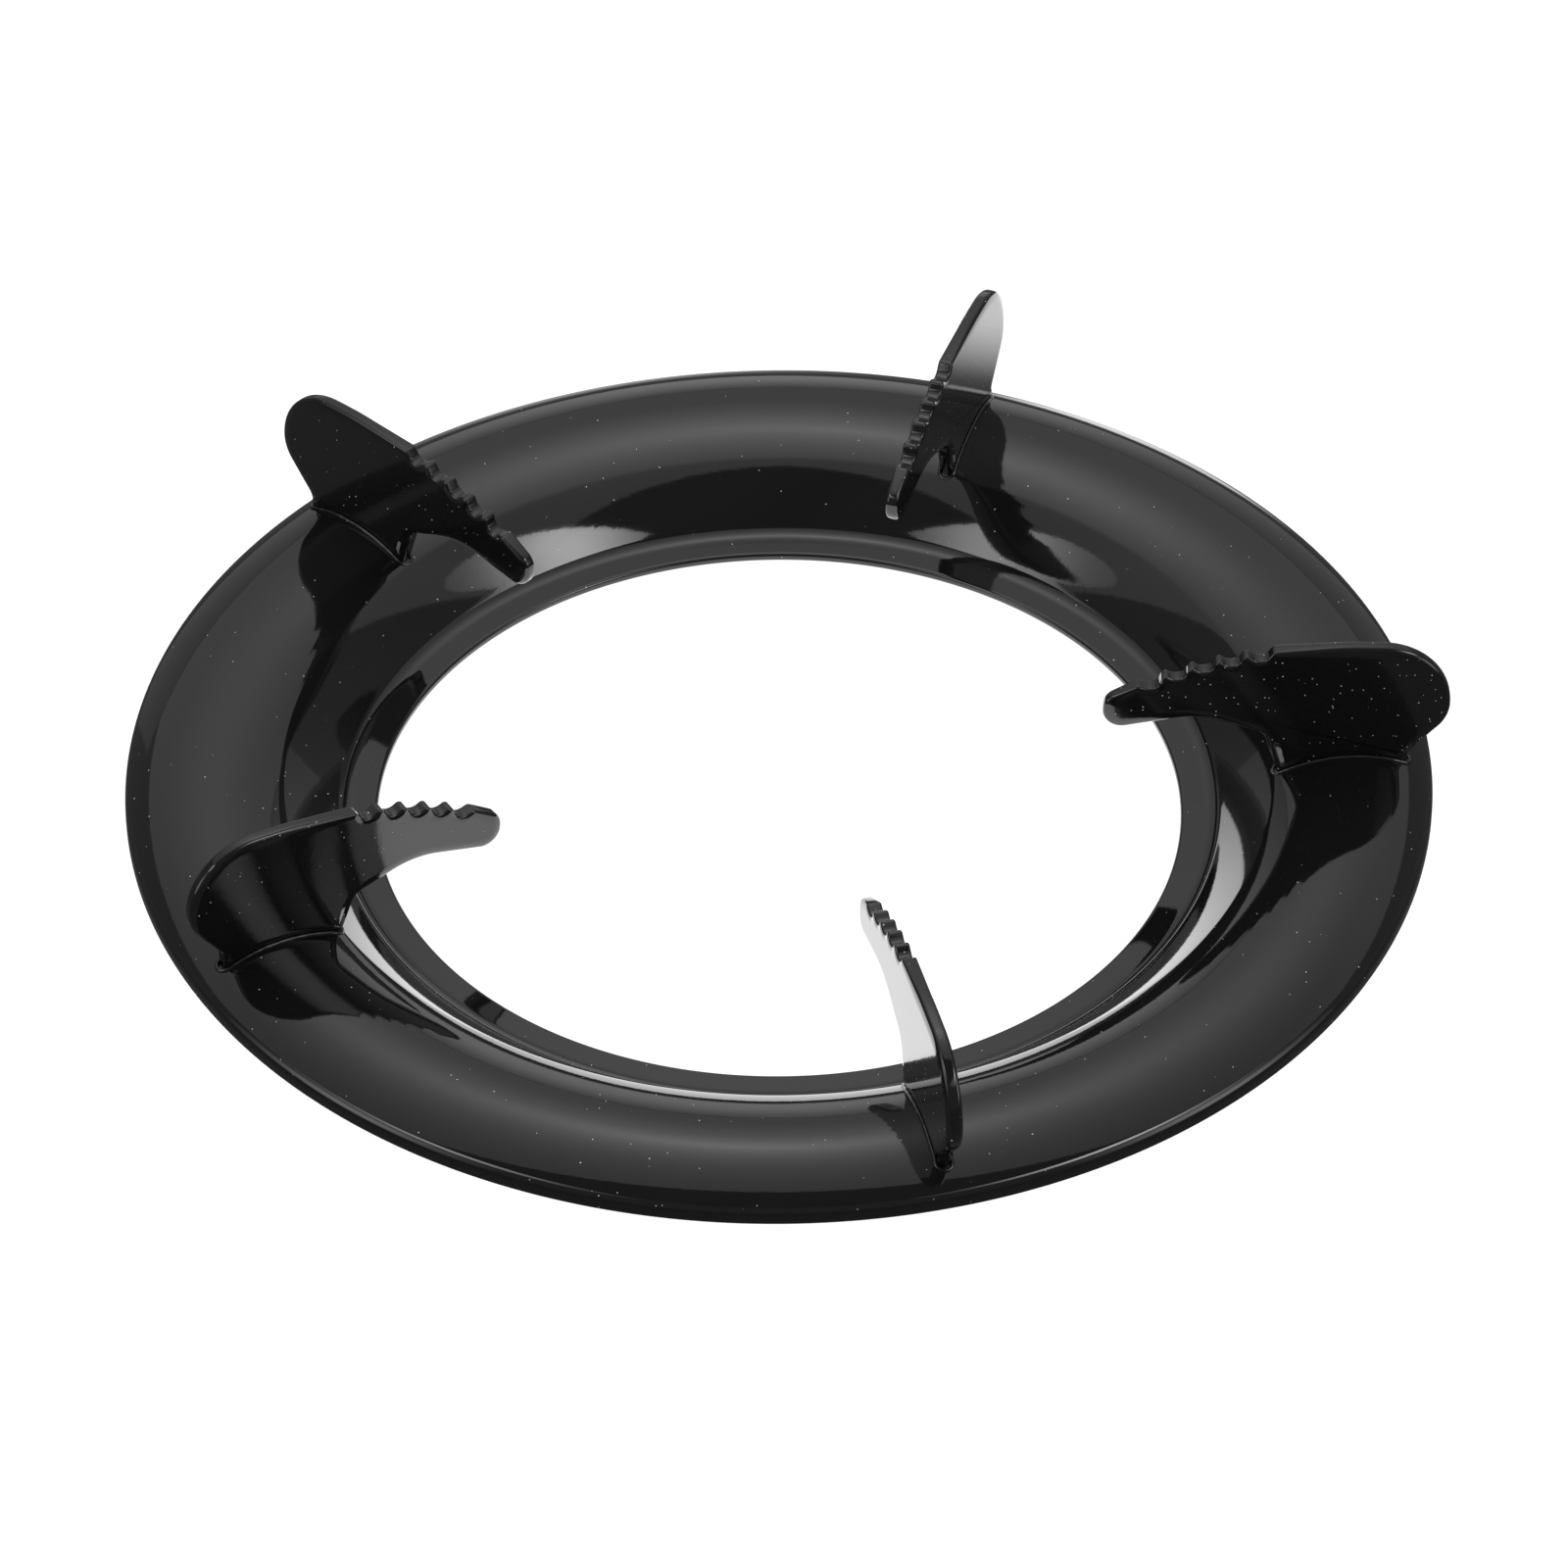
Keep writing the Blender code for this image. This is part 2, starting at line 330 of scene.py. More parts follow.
def spread(first, last, count):
    """Evenly spaced values from first to last."""
    return [first + (last - first) * i / (count - 1) for i in range(count)]


def rounded(corners, inset):
    """A closed outline from (point, radius) corners, each corner an arc, drawn inset.

    Each point comes with its share of the edge's softness, for the comb's edges are crisper.
    """
    points = []
    for i, (corner, radius) in enumerate(corners):
        before = (corners[i - 1][0] - corner).normalized()
        after = (corners[(i + 1) % len(corners)][0] - corner).normalized()
        half = before.angle(after) / 2
        side = 1 if before.x * after.y - before.y * after.x < 0 else -1
        share = EDGE_TIGHT if 0 < radius <= NOTCH_RADIUS else 1.0
        depth = inset * share
        if pi / 2 - half < STRAIGHT:
            inward = Vector((-after.y, after.x))
        else:
            inward = (before + after).normalized() * side
        moved = corner + inward * (depth / sin(half))
        if radius == 0:
            points.append((moved, share))
            continue
        bend = max(radius - side * depth, 0.0)
        centre = moved + (before + after).normalized() * (bend / sin(half))
        start = moved + before * (bend / tan(half)) - centre
        turn = pi - 2 * half
        count = max(3, round(turn / (2 * acos(1 - OUTLINE_SAG / radius))))
        for step in range(count + 1):
            spoke = Matrix.Rotation(side * turn * step / count, 2) @ start
            points.append((centre + spoke, share))
    return points


def comb_point(along, lift):
    """A point over the comb's curved line, which flattens towards the head."""
    start = from_crest(COMB_REACH, COMB_RISE)
    slope = radians(COMB_SLOPE)
    centre = start + Vector((sin(slope), -cos(slope))) * COMB_RADIUS
    angle = pi / 2 + slope - along / COMB_RADIUS
    return centre + Vector((cos(angle), sin(angle))) * (COMB_RADIUS + lift)


def comb_corners():
    """Teeth and notches from the nose to the head, as corners still to be rounded."""
    over = 1 / cos(radians(FLANK_ANGLE)) - 1
    zigzag = NOTCH_PITCH / 2 * tan(radians(FLANK_ANGLE))
    corners = [(comb_point(0, 0), TOOTH_RADIUS)]
    for i in range(NOTCHES):
        bottom = comb_point((i + 0.5) * NOTCH_PITCH, TOOTH_RADIUS * over - zigzag)
        corners.append((bottom, NOTCH_RADIUS))
        last = i == NOTCHES - 1
        tooth = comb_point((i + 1) * NOTCH_PITCH, 0 if last else TOOTH_RADIUS * over)
        corners.append((tooth, TOOTH_RADIUS))
    return corners


def finger_corners(outset, nod):
    """Corners round the plate: foot, neck, head, comb, nose, arch and knee.

    The foot keeps to the crown, and the rest nods over it by a small angle.
    """
    heel = CREST.x + FOOT_OUTER_REACH
    overhang = CREST.x + HEAD_OVERHANG
    neck = radians(NECK_LEAN)
    neck_top = CREST.y + FINGER_RISE - HEAD_RADIUS - HEAD_HEEL_RADIUS * tan(neck / 2)
    neck_bottom = neck_top - (overhang - heel) / tan(neck)
    corners = [
        (Vector((heel, neck_bottom)), NECK_RADIUS),
        (Vector((overhang, neck_top)), HEAD_HEEL_RADIUS),
        (from_crest(-HEAD_OVERHANG, FINGER_RISE), HEAD_RADIUS),
        (from_crest(HEAD_TOP_REACH, FINGER_RISE), HEAD_TOP_RADIUS),
        *reversed(comb_corners()),
        (from_crest(TIP_REACH, NOSE_TOP_RISE), NOSE_RADIUS),
        (from_crest(TIP_REACH, NOSE_BOTTOM_RISE), NOSE_RADIUS),
        (from_crest(ARCH_REACH, ARCH_RISE), ARCH_RADIUS),
        (from_crest(KNEE_REACH, KNEE_RISE), KNEE_RADIUS),
    ]
    hub = from_crest(NOD_REACH, 0)
    turn = Matrix.Rotation(radians(nod), 2)
    moved = hub + Vector((outset, 0))
    corners = [(moved + turn @ (corner - hub), radius) for corner, radius in corners]
    reaches = spread(outset - FOOT_INNER_REACH, outset + FOOT_OUTER_REACH, FOOT_POINTS)
    foot = [(on_crown(reach, -FOOT_SINK), 0) for reach in reaches]
    return foot + corners


# Meshes

def settled(obj):
    """The object's mesh with its modifiers worked in; the object itself is dropped."""
    graph = bpy.context.evaluated_depsgraph_get()
    graph.update()
    mesh = bpy.data.meshes.new_from_object(obj.evaluated_get(graph))
    bpy.data.objects.remove(obj, do_unlink=True)
    return mesh


def place(name, mesh):
    """A new object of this mesh, at the origin."""
    mesh.name = name
    piece = bpy.data.objects.new(name, mesh)
    bpy.context.scene.collection.objects.link(piece)
    return piece


def joined(meshes):
    """One smooth mesh of several."""
    work = bmesh.new()
    for mesh in meshes:
        work.from_mesh(mesh)
    whole = bpy.data.meshes.new("joined")
    work.to_mesh(whole)
    work.free()
    whole.shade_smooth()
    return whole


def ring_mesh():
    """The section turned round the axis, thickened downwards into sheet, its edges fused."""
    line = bpy.data.meshes.new("ring section")
    points = [(p.x * MM, 0, p.y * MM) for p in SECTION]
    line.from_pydata(points, [(i, i + 1) for i in range(len(points) - 1)], [])
    blank = place("ring blank", line)
    turned = blank.modifiers.new("turned", "SCREW")
    turned.axis = "Z"
    turned.angle = 2 * pi
    turned.steps = RING_STEPS
    turned.render_steps = RING_STEPS
    turned.use_merge_vertices = True
    turned.merge_threshold = RING_MERGE
    sheet = blank.modifiers.new("sheet", "SOLIDIFY")
    sheet.thickness = SHEET * MM
    sheet.offset = -1
    sheet.use_even_offset = True
    edges = blank.modifiers.new("fused edges", "BEVEL")
    edges.width = RING_EDGE * MM
    edges.segments = RING_EDGE_STEPS
    edges.limit_method = "ANGLE"
    edges.angle_limit = radians(RING_EDGE_ANGLE)
    mesh = settled(blank)
    mesh.shade_smooth()
    return mesh


def edge_layers():
    """The plate's edge from one face to the other, as (inset, drop, side) layers.

    The roll-over slopes more and more, and the round takes it on from that slope.
    """
    tip = atan(2 * ROLL_DROP / ROLL_WIDTH)
    start = EDGE_RADIUS * (1 - sin(tip))
    layers = [(start + ROLL_WIDTH + EDGE_MARGIN, 0.0, 1)]
    for step in range(ROLL_STEPS):
        along = step / ROLL_STEPS
        layers.append((start + ROLL_WIDTH * (1 - along), ROLL_DROP * along ** 2, 1))
    for turn in spread(tip, pi / 2, EDGE_STEPS + 1):
        inset = EDGE_RADIUS * (1 - sin(turn))
        drop = ROLL_DROP + EDGE_RADIUS * (cos(tip) - cos(turn))
        layers.append((inset, drop, 1))
    return layers + [(inset, drop, -1) for inset, drop, side in reversed(layers)]


def plate_mesh(outset, nod):
    """The stamped plate, standing up at azimuth 0, its edges tumbled round."""
    corners = finger_corners(outset, nod)
    work = bmesh.new()
    loops = []
    for inset, drop, side in edge_layers():
        loop = []
        for point, share in rounded(corners, inset):
            across = side * (PLATE / 2 - drop * share)
            loop.append(work.verts.new((point.x * MM, across * MM, point.y * MM)))
        loops.append(loop)
    count = len(loops[0])
    for row, after in zip(loops, loops[1:]):
        for i in range(count):
            j = (i + 1) % count
            work.faces.new((row[i], row[j], after[j], after[i]))
    work.faces.new(loops[0])
    work.faces.new(reversed(loops[-1]))
    bmesh.ops.remove_doubles(work, verts=work.verts, dist=PLATE_MERGE)
    bmesh.ops.recalc_face_normals(work, faces=work.faces)
    mesh = bpy.data.meshes.new("finger plate")
    work.to_mesh(mesh)
    work.free()
    return mesh


def bead_path(outset):
    """The line round the foot that the bead is laid along, as a closed loop on the crown."""
    first = outset - FOOT_INNER_REACH + BEAD_END
    last = outset + FOOT_OUTER_REACH - BEAD_END
    side = PLATE / 2
    along = spread(first, last, BEAD_POINTS)
    path = [(reach, side) for reach in along]
    turns = [radians(90 - 180 * i / BEAD_TURN_STEPS) for i in range(1, BEAD_TURN_STEPS)]
    path += [(last + side * cos(turn), side * sin(turn)) for turn in turns]
    path += [(reach, -side) for reach in reversed(along)]
    path += [(first - side * cos(turn), -side * sin(turn)) for turn in turns]
    points = []
    for reach, across in path:
        spot = on_crown(reach, BEAD_UP)
        points.append((spot.x * MM, across * MM, spot.y * MM))
    return points


def bead_nodes(finish):
    """Sweeps a round bead along a closed line; thickness and line wander with slow noise."""
    tree = bpy.data.node_groups.new("weld bead", "GeometryNodeTree")
    tree.interface.new_socket("Geometry", in_out="INPUT", socket_type="NodeSocketGeometry")
    for name in ("Radius", "Pace", "Wander", "Swell", "Seed"):
        tree.interface.new_socket(name, in_out="INPUT", socket_type="NodeSocketFloat")
    tree.interface.new_socket("Geometry", in_out="OUTPUT", socket_type="NodeSocketGeometry")
    given = add(tree, "NodeGroupInput").outputs
    line = add(tree, "GeometryNodeMeshToCurve", links={"Mesh": given["Geometry"]})
    even = add(
        tree,
        "GeometryNodeResampleCurve",
        {"mode": "LENGTH"},
        {"Curve": line.outputs[0], "Length": given["Pace"]},
    )
    noise = {"noise_dimensions": "4D", "Detail": 1.0}
    where = add(tree, "GeometryNodeInputPosition").outputs[0]
    laid = {"Vector": where, "W": given["Seed"]}
    slow = add(tree, "ShaderNodeTexNoise", noise | {"Scale": BEAD_DRIFT_WAVES / MM}, laid)
    centred = add(
        tree,
        "ShaderNodeVectorMath",
        {"operation": "SUBTRACT", 1: (0.5, 0.5, 0.5)},
        {0: slow.outputs["Color"]},
    )
    drift = add(
        tree,
        "ShaderNodeVectorMath",
        {"operation": "SCALE"},
        {0: centred.outputs[0], "Scale": given["Wander"]},
    )
    moved = add(
        tree,
        "GeometryNodeSetPosition",
        links={"Geometry": even.outputs[0], "Offset": drift.outputs[0]},
    )
    lumps = add(tree, "ShaderNodeTexNoise", noise | {"Scale": BEAD_LUMP_WAVES / MM}, laid)
    swell = add(
        tree,
        "ShaderNodeMath",
        {"operation": "MULTIPLY_ADD", 2: 1 - BEAD_SWELL / 2},
        {0: lumps.outputs["Fac"], 1: given["Swell"]},
    )
    ring = add(
        tree,
        "GeometryNodeCurvePrimitiveCircle",
        {"Resolution": BEAD_SIDES},
        {"Radius": given["Radius"]},
    )
    swept = add(
        tree,
        "GeometryNodeCurveToMesh",
        links={"Curve": moved.outputs[0], "Profile Curve": ring.outputs[0], "Scale": swell.outputs[0]},
    )
    smooth = add(tree, "GeometryNodeSetShadeSmooth", links={"Geometry": swept.outputs[0]})
    real = add(tree, "GeometryNodeRealizeInstances", links={"Geometry": smooth.outputs[0]})
    enamelled = add(
        tree,
        "GeometryNodeSetMaterial",
        {"Material": finish},
        {"Geometry": real.outputs[0]},
    )
    add(tree, "NodeGroupOutput", links={"Geometry": enamelled.outputs[0]})
    return tree


def bead_mesh(outset, nodes, seed):
    """The bead round one foot, standing at azimuth 0."""
    points = bead_path(outset)
    count = len(points)
    line = bpy.data.meshes.new("bead line")
    line.from_pydata(points, [(i, (i + 1) % count) for i in range(count)], [])
    blank = place("bead line", line)
    laid = blank.modifiers.new("bead", "NODES")
    laid.node_group = nodes
    given = {
        "Radius": BEAD_RADIUS * MM,
        "Pace": BEAD_PACE * MM,
        "Wander": BEAD_WANDER * MM,
        "Swell": BEAD_SWELL,
        "Seed": seed,
    }
    for item in nodes.interface.items_tree:
        if item.name in given:
            laid[item.identifier] = given[item.name]
    return settled(blank)


def finger_place(i):
    """Where finger i stands: leaning over its foot, twisted on it, then turned to its place."""
    crown = Vector((0, 0, CREST.y * MM))
    lean = Matrix.Translation(crown) @ Matrix.Rotation(radians(LEAN[i]), 4, "X")
    lean = lean @ Matrix.Translation(-crown)
    out = Vector((TWIST_RADIUS * MM, 0, 0))
    twist = Matrix.Translation(out) @ Matrix.Rotation(radians(TWIST[i]), 4, "Z")
    twist = twist @ Matrix.Translation(-out)
    stand = radians(FIRST_FINGER + i * 360 / FINGERS + PLACING[i])
    return Matrix.Rotation(stand, 4, "Z") @ twist @ lean


# Finishes

def enamel(name, seed, specks, coarse):
    """Vitreous enamel: black glass fused to steel, fired at red heat.

    To the eye it is a sharp gloss over faint orange peel, with a few pale specks where the
    glass boiled or dust was fired in. Their near-white colour is also a painted glint, the
    light those flecks and pits would catch. The specks are drawn a little large, to show at all.
    """
    finish = bpy.data.materials.new(name)
    finish.use_nodes = True
    tree = finish.node_tree
    tree.nodes.clear()
    where = add(tree, "ShaderNodeTexCoord").outputs["Object"]
    reliefs = (
        (SAG_WAVES, SAG_DEPTH, 1.0),
        (PEEL_WAVES, PEEL_DEPTH * coarse, 2.0),
        (GRAIN_WAVES, GRAIN_DEPTH * coarse, 1.0),
    )
    normal = {}
    for waves, depth, detail in reliefs:
        noise = add(
            tree,
            "ShaderNodeTexNoise",
            {"noise_dimensions": "4D", "W": seed, "Scale": waves / MM, "Detail": detail},
            {"Vector": where},
        )
        relief = add(
            tree,
            "ShaderNodeBump",
            {"Strength": 1.0, "Distance": depth * MM},
            {"Height": noise.outputs["Fac"]} | normal,
        )
        normal = {"Normal": relief.outputs["Normal"]}
    cells = add(
        tree,
        "ShaderNodeTexVoronoi",
        {"Scale": 1 / (SPECK_PITCH * MM), "Randomness": 1.0},
        {"Vector": where},
    )
    chance = add(tree, "ShaderNodeSeparateColor", links={0: cells.outputs["Color"]})
    few = add(
        tree,
        "ShaderNodeMath",
        {"operation": "GREATER_THAN", 1: 1 - specks},
        {0: chance.outputs[0]},
    )
    reach = add(
        tree,
        "ShaderNodeMath",
        {"operation": "MULTIPLY", 1: SPECK_RADIUS / SPECK_PITCH},
        {0: chance.outputs[1]},
    )
    near = add(
        tree,
        "ShaderNodeMath",
        {"operation": "LESS_THAN"},
        {0: cells.outputs["Distance"], 1: reach.outputs[0]},
    )
    speck_and_glint = add(
        tree,
        "ShaderNodeMath",
        {"operation": "MULTIPLY"},
        {0: few.outputs[0], 1: near.outputs[0]},
    )
    # The specks take a near-white colour: pale flecks, and a painted glint on them
    colour = add(
        tree,
        "ShaderNodeMix",
        {"data_type": "RGBA", 6: linear(ENAMEL_BLACK), 7: linear(SPECK_AND_GLINT_COLOUR)},
        {0: speck_and_glint.outputs[0]},
    )
    rough = add(
        tree,
        "ShaderNodeMapRange",
        {"To Min": GLOSS * coarse, "To Max": SPECK_ROUGHNESS},
        {"Value": speck_and_glint.outputs[0]},
    )
    surface = add(
        tree,
        "ShaderNodeBsdfPrincipled",
        {"IOR": ENAMEL_IOR},
        {"Base Color": colour.outputs[2], "Roughness": rough.outputs[0]} | normal,
    )
    add(tree, "ShaderNodeOutputMaterial", links={"Surface": surface.outputs["BSDF"]})
    return finish


def change(start, end, before, after):
    """Settings for a smooth change of level between two distances; None is left to a link."""
    names = ("From Min", "From Max", "To Min", "To Max")
    levels = zip(names, (start, end, before, after))
    given = {name: level for name, level in levels if level is not None}
    return {"interpolation_type": "SMOOTHSTEP"} | given


def patch(tree, spot, centre, core, edge, level):
    """A round painted patch of light on the floor, full in its core and gone at its edge."""
    away = add(
        tree,
        "ShaderNodeVectorMath",
        {"operation": "DISTANCE", 1: centre},
        {0: spot},
    )
    return add(
        tree,
        "ShaderNodeMapRange",
        change(core, edge, level, 0.0),
        {"Value": away.outputs["Value"]},
    )


def floor_paper():
    """White sweep paper: matt, with no shine, and plain white to the eye.

    The gloss of the enamel sees a glow painted on it instead, painted light with a painted
    shadow under the ring, which gives the ring its dark mirror.
    """
    finish = bpy.data.materials.new("white sweep paper")
    finish.use_nodes = True
    tree = finish.node_tree
    tree.nodes.clear()
    paper = add(tree, "ShaderNodeBsdfDiffuse", {"Color": linear(PAPER_COLOUR)})
    spot = add(tree, "ShaderNodeTexCoord").outputs["Object"]
    far = add(tree, "ShaderNodeVectorMath", {"operation": "LENGTH"}, {0: spot}).outputs["Value"]
    along = add(tree, "ShaderNodeSeparateXYZ", links={0: spot})
    depth = add(
        tree,
        "ShaderNodeMapRange",
        change(FRONT_END, BACK_START, FRONT_LEVEL, BACK_LEVEL),
        {"Value": along.outputs["Y"]},
    )
    band = add(
        tree,
        "ShaderNodeMapRange",
        change(BAND_START, BAND_FULL, DIM_LEVEL, None),
        {"Value": far, "To Max": depth.outputs[0]},
    )
    outside = add(
        tree,
        "ShaderNodeMapRange",
        change(BAND_FADES, BAND_END, None, DIM_LEVEL),
        {"Value": far, "To Min": band.outputs[0]},
    )
    inside = add(
        tree,
        "ShaderNodeMapRange",
        change(INSIDE_FULL, INSIDE_END, INSIDE_LEVEL, 0.0),
        {"Value": far},
    )
    both = add(
        tree,
        "ShaderNodeMath",
        {"operation": "ADD"},
        {0: outside.outputs[0], 1: inside.outputs[0]},
    )
    left = patch(tree, spot, LEFT_PATCH, LEFT_PATCH_CORE, LEFT_PATCH_EDGE, LEFT_PATCH_LEVEL)
    right = patch(tree, spot, RIGHT_PATCH, RIGHT_PATCH_CORE, RIGHT_PATCH_EDGE, RIGHT_PATCH_LEVEL)
    patches = add(
        tree,
        "ShaderNodeMath",
        {"operation": "ADD"},
        {0: left.outputs[0], 1: right.outputs[0]},
    )
    clear = add(
        tree,
        "ShaderNodeMapRange",
        change(PATCH_NEAREST, PATCH_FREE, 0.0, 1.0),
        {"Value": far},
    )
    painted_gloss_glow = add(
        tree,
        "ShaderNodeMath",
        {"operation": "MULTIPLY_ADD"},
        {0: patches.outputs[0], 1: clear.outputs[0], 2: both.outputs[0]},
    )
    path = add(tree, "ShaderNodeLightPath").outputs
    seen = add(
        tree,
        "ShaderNodeMath",
        {"operation": "MAXIMUM"},
        {0: path["Is Camera Ray"], 1: path["Is Transmission Ray"]},
    )
    # Glossy rays see the painted glow, with its painted light and painted shadow; the camera sees
    # white
    level = add(
        tree,
        "ShaderNodeMix",
        {"data_type": "FLOAT", 2: FLOOR_WHITE},
        {0: path["Is Glossy Ray"], 3: painted_gloss_glow.outputs[0]},
    )
    white = add(
        tree,
        "ShaderNodeEmission",
        {"Color": linear("#ffffff")},
        {"Strength": level.outputs[0]},
    )
    gloss = add(
        tree,
        "ShaderNodeMath",
        {"operation": "MULTIPLY", 1: GLOSS_SHARE},
        {0: path["Is Glossy Ray"]},
    )
    bare = add(
        tree,
        "ShaderNodeMath",
        {"operation": "MULTIPLY", 1: FLOOR_SHARE},
        {0: seen.outputs[0]},
    )
    share = add(
        tree,
        "ShaderNodeMath",
        {"operation": "MAXIMUM"},
        {0: bare.outputs[0], 1: gloss.outputs[0]},
    )
    mixed = add(
        tree,
        "ShaderNodeMixShader",
        links={0: share.outputs[0], 1: paper.outputs[0], 2: white.outputs[0]},
    )
    add(tree, "ShaderNodeOutputMaterial", links={"Surface": mixed.outputs[0]})
    return finish


# Studio

def direction(azimuth, elevation):
    """A point as far off as the lamps: azimuth 0 is behind the ring, 90 on its right."""
    a = radians(azimuth)
    e = radians(elevation)
    return Vector((sin(a) * cos(e), cos(a) * cos(e), sin(e))) * LAMP_DISTANCE


def glow(light, centre, base, peak, reach, power):
    """Uneven light over a lamp: brightest round a centre, falling off to the base."""
    light.use_nodes = True
    tree = light.node_tree
    tree.nodes.clear()
    where = add(tree, "ShaderNodeNewGeometry").outputs["Position"]
    away = add(tree, "ShaderNodeVectorMath", {"operation": "DISTANCE", 1: centre}, {0: where})
    share = add(
        tree,
        "ShaderNodeMath",
        {"operation": "DIVIDE", 1: reach},
        {0: away.outputs["Value"]},
    )
    bent = add(tree, "ShaderNodeMath", {"operation": "POWER", 1: power}, {0: share.outputs[0]})
    less = add(tree, "ShaderNodeMath", {"operation": "MULTIPLY", 1: -1.0}, {0: bent.outputs[0]})
    fall = add(tree, "ShaderNodeMath", {"operation": "EXPONENT"}, {0: less.outputs[0]})
    level = add(
        tree,
        "ShaderNodeMath",
        {"operation": "MULTIPLY_ADD", 1: peak, 2: base},
        {0: fall.outputs[0]},
    )
    shine = add(
        tree,
        "ShaderNodeEmission",
        {"Color": linear("#ffffff")},
        {"Strength": level.outputs[0]},
    )
    add(tree, "ShaderNodeOutputLight", links={"Surface": shine.outputs[0]})


def lamp(name, at, towards, width, height, shape="RECTANGLE"):
    """A flat lamp facing a point, with the same radiance whatever its size."""
    light = bpy.data.lights.new(name, "AREA")
    light.shape = shape
    light.size = width
    light.size_y = height
    light.energy = pi * width * height
    obj = bpy.data.objects.new(name, light)
    bpy.context.scene.collection.objects.link(obj)
    obj.location = at
    obj.rotation_euler = (Vector(towards) - Vector(at)).to_track_quat("-Z", "Y").to_euler()
    return light


def build_lamps():
    """A panel over the back, a long lamp at each side in front, and three low panels."""
    top = lamp("top panel", at=(0, 0.455, 0.51), towards=(0, 0.455, 0), width=1.5, height=1.29)
    glow(top, centre=(-0.02, 0.24, 0.51), base=0.34, peak=2.5, reach=0.18, power=1.0)
    lamps = (
        ("left lamp", LEFT_AZIMUTH, LEFT_GLOW_AZIMUTH, LEFT_PEAK),
        ("right lamp", RIGHT_AZIMUTH, RIGHT_GLOW_AZIMUTH, RIGHT_PEAK),
    )
    for name, azimuth, glow_azimuth, peak in lamps:
        at = direction(azimuth, LAMP_ELEVATION)
        centre = direction(glow_azimuth, LAMP_GLOW_ELEVATION)
        side = lamp(name, at, (0, 0, 0), LAMP_WIDTH, LAMP_HEIGHT, "ELLIPSE")
        glow(side, centre, base=0.3, peak=peak, reach=0.6, power=2.0)
    back = lamp("back panel", at=(0, 1.1, 0.25), towards=(0, 0, 0.25), width=1.8, height=0.5)
    glow(back, centre=(0, 1.1, 0.2), base=0.15, peak=0.65, reach=0.3, power=2.0)
    for name, x, peak in (("left panel", -0.8, 2.6), ("right panel", 0.8, 2.8)):
        side = lamp(name, at=(x, -0.35, 0.26), towards=(0, -0.05, 0), width=0.8, height=0.5)
        glow(side, centre=(x, -0.35, 0.22), base=0.0, peak=peak, reach=0.24, power=2.0)


def build_room():
    """White to the camera; to everything else a dim room, darker overhead."""
    world = bpy.data.worlds.new("studio")
    bpy.context.scene.world = world
    world.use_nodes = True
    tree = world.node_tree
    tree.nodes.clear()
    way = add(tree, "ShaderNodeTexCoord").outputs["Generated"]
    height = add(tree, "ShaderNodeSeparateXYZ", links={0: way})
    dim = add(
        tree,
        "ShaderNodeMapRange",
        change(ROOM_LOW, ROOM_HIGH, ROOM_LEVEL, ROOM_TOP_LEVEL),
        {"Value": height.outputs["Z"]},
    )
    path = add(tree, "ShaderNodeLightPath").outputs
    seen = add(
        tree,
        "ShaderNodeMath",
        {"operation": "MAXIMUM"},
        {0: path["Is Camera Ray"], 1: path["Is Transmission Ray"]},
    )
    level = add(
        tree,
        "ShaderNodeMix",
        {"data_type": "FLOAT", 3: ROOM_WHITE},
        {0: seen.outputs[0], 2: dim.outputs[0]},
    )
    back = add(
        tree,
        "ShaderNodeBackground",
        {"Color": linear("#ffffff")},
        {"Strength": level.outputs[0]},
    )
    add(tree, "ShaderNodeOutputWorld", links={"Surface": back.outputs[0]})


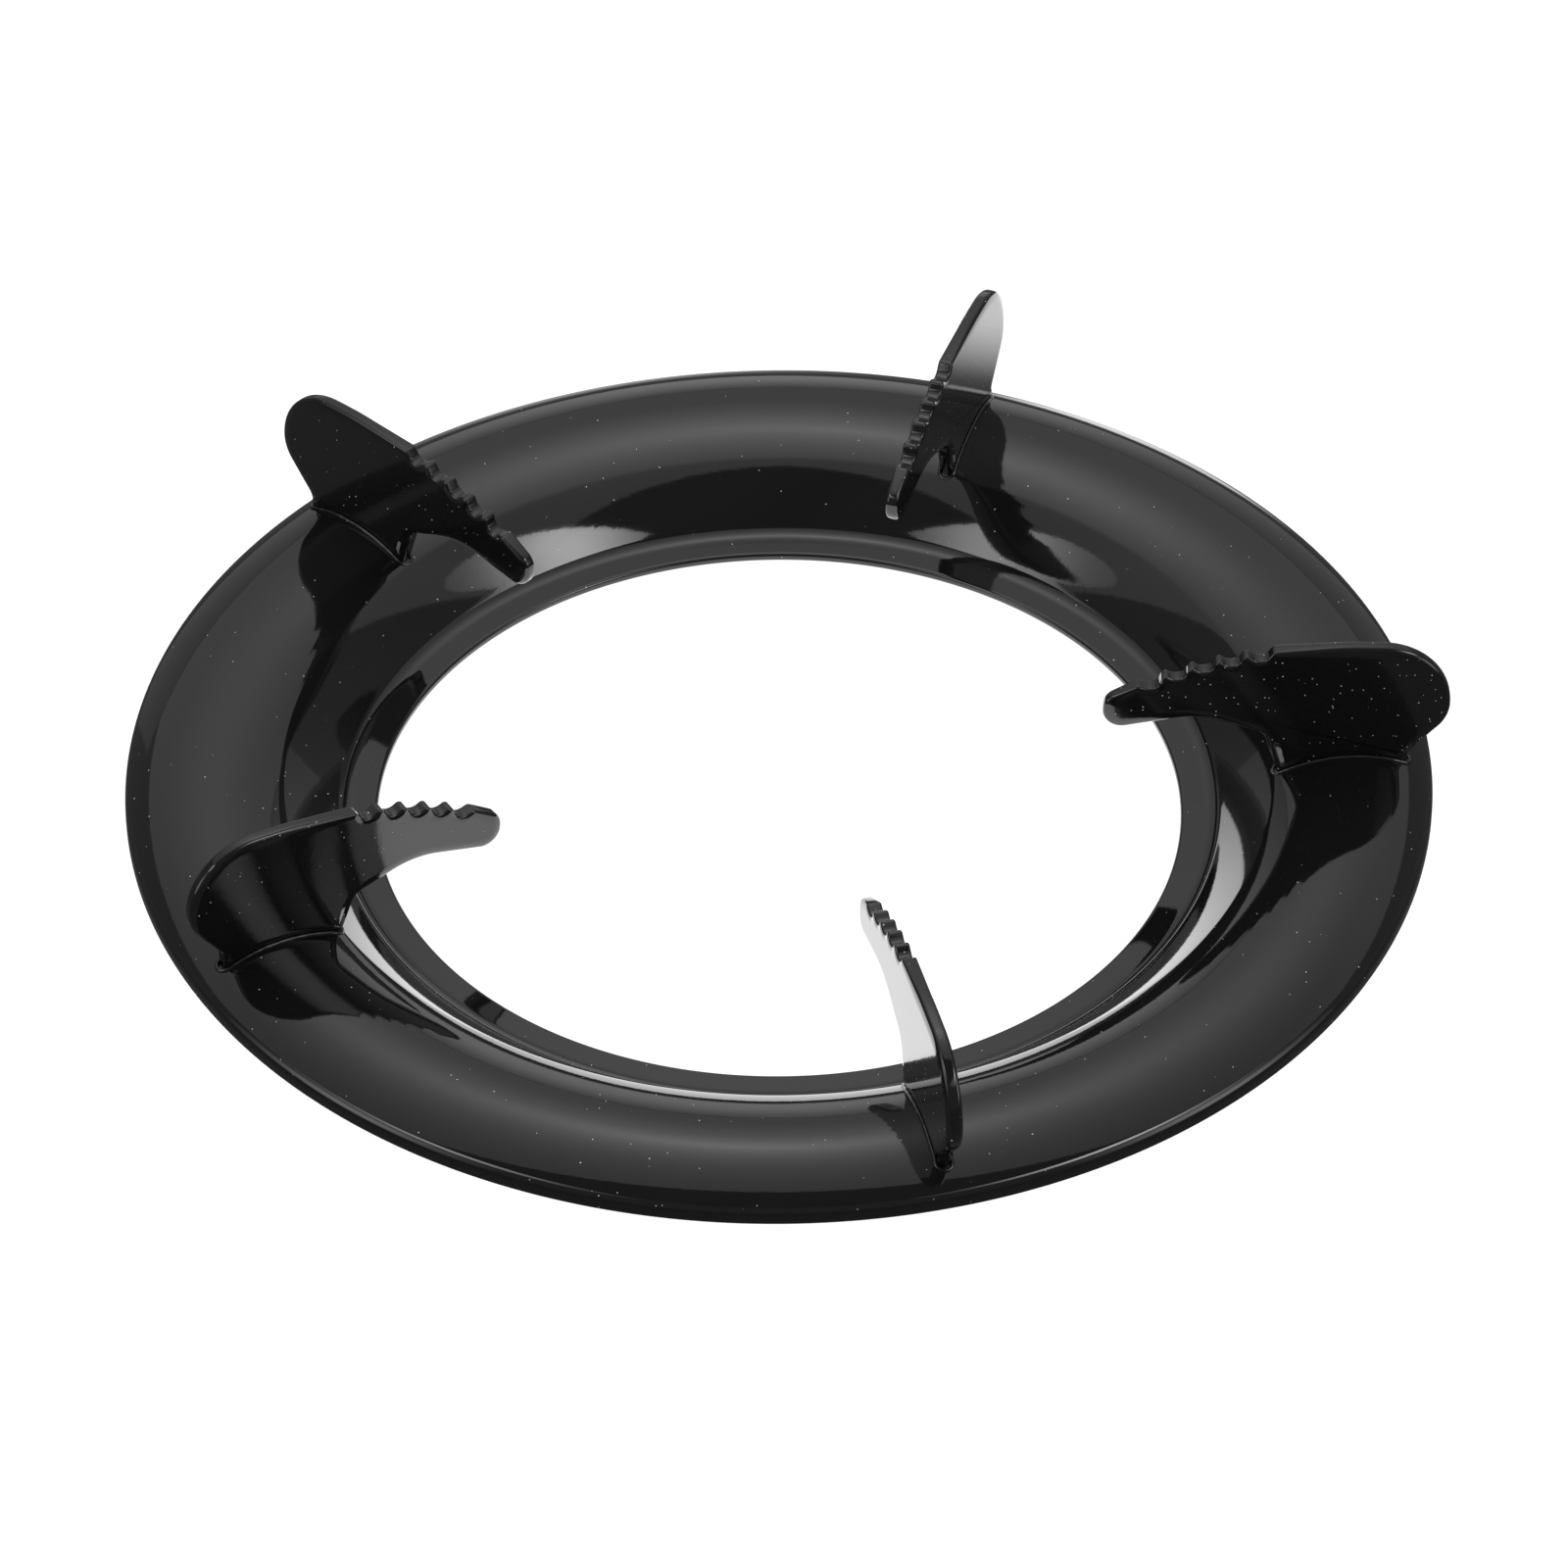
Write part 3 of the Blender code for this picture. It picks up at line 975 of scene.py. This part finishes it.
def build_floor():
    mesh = bpy.data.meshes.new("floor")
    far = FLOOR_REACH
    corners = [(-far, -far, 0), (far, -far, 0), (far, far, 0), (-far, far, 0)]
    mesh.from_pydata(corners, [], [(0, 1, 2, 3)])
    floor = place("floor", mesh)
    floor.location.z = -FLOOR_DROP
    mesh.materials.append(floor_paper())


def build_camera():
    """A camera that looks at a point just over the origin, then is turned by small angles."""
    data = bpy.data.cameras.new("camera")
    data.sensor_width = SENSOR
    data.lens = FOCAL / PHOTO_WIDTH * SENSOR
    data.clip_end = VIEW_END
    camera = bpy.data.objects.new("camera", data)
    bpy.context.scene.collection.objects.link(camera)
    e = radians(CAMERA_ELEVATION)
    at = Vector((0, -CAMERA_DISTANCE * cos(e), CAMERA_DISTANCE * sin(e)))
    ahead = -at.normalized()
    right = ahead.cross(Vector((0, 0, 1))).normalized()
    up = right.cross(ahead)
    axes = Matrix((right, up, -ahead))
    small = (
        Matrix.Rotation(radians(ROLL), 3, "Z")
        @ Matrix.Rotation(radians(PAN), 3, "Y")
        @ Matrix.Rotation(radians(TILT), 3, "X")
    )
    turned = (small @ axes).transposed()
    camera.matrix_world = Matrix.Translation(at + Vector((0, 0, CAMERA_HEIGHT))) @ turned.to_4x4()
    bpy.context.scene.camera = camera


# The wok ring's pieces

def build_ring():
    finish = enamel(
        "vitreous black enamel on pressed steel", RING_SEED, RING_SPECKS, RING_COARSE
    )
    piece = place("enamelled_ring", ring_mesh())
    piece.data.materials.append(finish)
    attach(piece, BODY)
    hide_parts("ring")


def build_fingers():
    finish = enamel(
        "vitreous black enamel on stamped plate", FINGER_SEED, FINGER_SPECKS, FINGER_COARSE
    )
    nodes = bead_nodes(finish)
    for i in range(FINGERS):
        bead = bead_mesh(OUTSET[i], nodes, BEAD_SEED_STEP * i)
        own = joined([plate_mesh(OUTSET[i], NOD[i]), bead])
        own.transform(finger_place(i))
        own.materials.append(finish)
        piece = place(f"notched_finger_{i + 1}", own)
        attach(piece, BODY)
        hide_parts(f"finger_{i + 1}")


build_ring()
build_fingers()
build_floor()
build_room()
build_lamps()
build_camera()
bpy.context.scene.view_settings.view_transform = "Standard"
